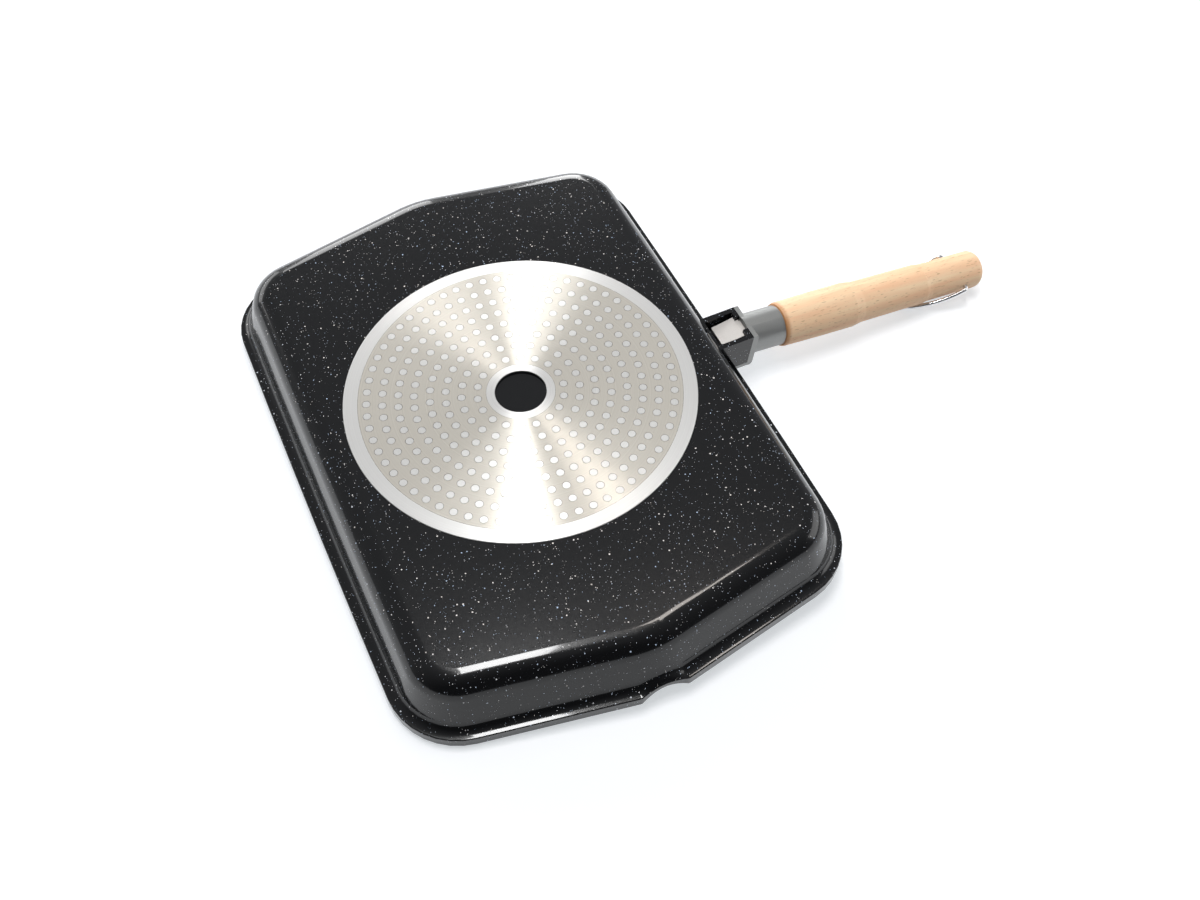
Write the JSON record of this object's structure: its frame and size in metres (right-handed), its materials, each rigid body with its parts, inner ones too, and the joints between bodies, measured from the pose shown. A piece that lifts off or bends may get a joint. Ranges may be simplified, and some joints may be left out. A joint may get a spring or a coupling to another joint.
{
  "type": "flip pan",
  "caption": "Speckled six-sided flip pan half with a round induction base, a pouring spout and a tilted wooden handle with a hanging bail.",
  "frame": {"origin": "centre of the rim plane, under the middle of the round induction base", "axes": "+X along the handle, +Z out of the hob side with the pan base up as in the picture, -Y towards the pouring spout"},
  "size_m": [0.4037, 0.3344, 0.0504],
  "materials": {
    "speckled_coating": "satin black non-stick coating with fine pale speckles on die-cast aluminium",
    "turned_aluminium": "turned bare aluminium",
    "plate_steel": "satin stainless steel",
    "cast_block": "plain cast",
    "ferrule_metal": "matt blasted casting",
    "beech": "oiled beech",
    "bolt_steel": "zinc plated",
    "bail_wire": "bright wire"
  },
  "bodies": {
    "pan": {"pan_body": "speckled_coating", "base_pad": "turned_aluminium", "induction_plate": "plate_steel", "anchor_block": "cast_block", "ferrule": "ferrule_metal", "grip": "beech", "tie_bolt": "bolt_steel", "bolt_washer": "bolt_steel"},
    "bail": {"bail": "bail_wire"}
  },
  "joints": [
    {"name": "bail_hinge", "type": "hinge", "parent": "pan", "child": "bail", "pos_m": [0.27039, 0, -0.00496], "axis": [0, -1, 0], "range_deg": [0, 317]}
  ]
}
